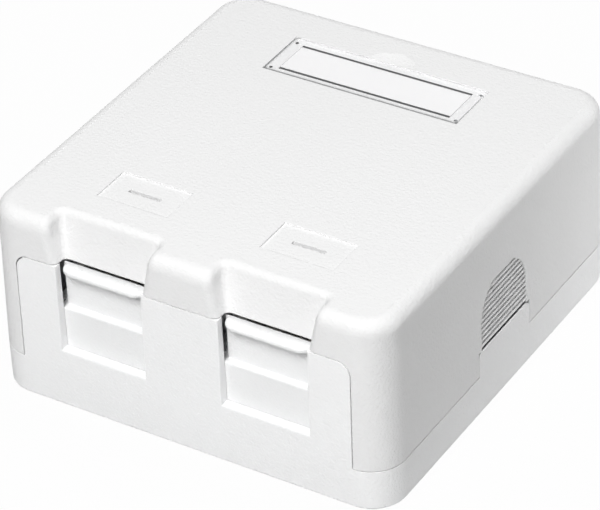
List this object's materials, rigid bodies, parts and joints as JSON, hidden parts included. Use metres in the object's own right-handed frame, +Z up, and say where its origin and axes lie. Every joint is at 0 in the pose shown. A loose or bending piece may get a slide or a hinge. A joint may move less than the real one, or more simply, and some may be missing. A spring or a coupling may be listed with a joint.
{
  "type": "surface mount outlet box",
  "caption": "Low white surface-mount outlet box with sliding shutters over its jack ports, finger scoops, a clear label window and ribbed cable knockouts.",
  "frame": {"origin": "middle of the underside", "axes": "+X right as seen from the ports, +Y towards the back, +Z up; the ports face -Y"},
  "size_m": [0.068, 0.07, 0.0323],
  "materials": {
    "white_plastic": "fine satin grain",
    "clear_plastic": "clear, polished",
    "card": "plain",
    "jack_plastic": "satin",
    "carrier_plastic": "satin",
    "contact_metal": "gold plated",
    "board": "solder mask",
    "terminal_metal": "tinned",
    "cap_plastic": "satin"
  },
  "bodies": {
    "box": {"base": "white_plastic", "cover": "white_plastic", "label_window": "clear_plastic", "label_card": "card", "left_jack_housing": "jack_plastic", "left_contact_carrier": "carrier_plastic", "left_contacts": "contact_metal", "left_board": "board", "left_terminal_block": "jack_plastic", "left_terminals": "terminal_metal", "left_wire_cap": "cap_plastic", "right_jack_housing": "jack_plastic", "right_contact_carrier": "carrier_plastic", "right_contacts": "contact_metal", "right_board": "board", "right_terminal_block": "jack_plastic", "right_terminals": "terminal_metal", "right_wire_cap": "cap_plastic"},
    "left_shutter": {"left_shutter": "white_plastic"},
    "right_shutter": {"right_shutter": "white_plastic"}
  },
  "joints": [
    {"name": "left_shutter_slide", "type": "slide", "parent": "box", "child": "left_shutter", "axis": [0, 0, -1], "range_m": [0, 0.008]},
    {"name": "right_shutter_slide", "type": "slide", "parent": "box", "child": "right_shutter", "axis": [0, 0, -1], "range_m": [0, 0.008]}
  ]
}
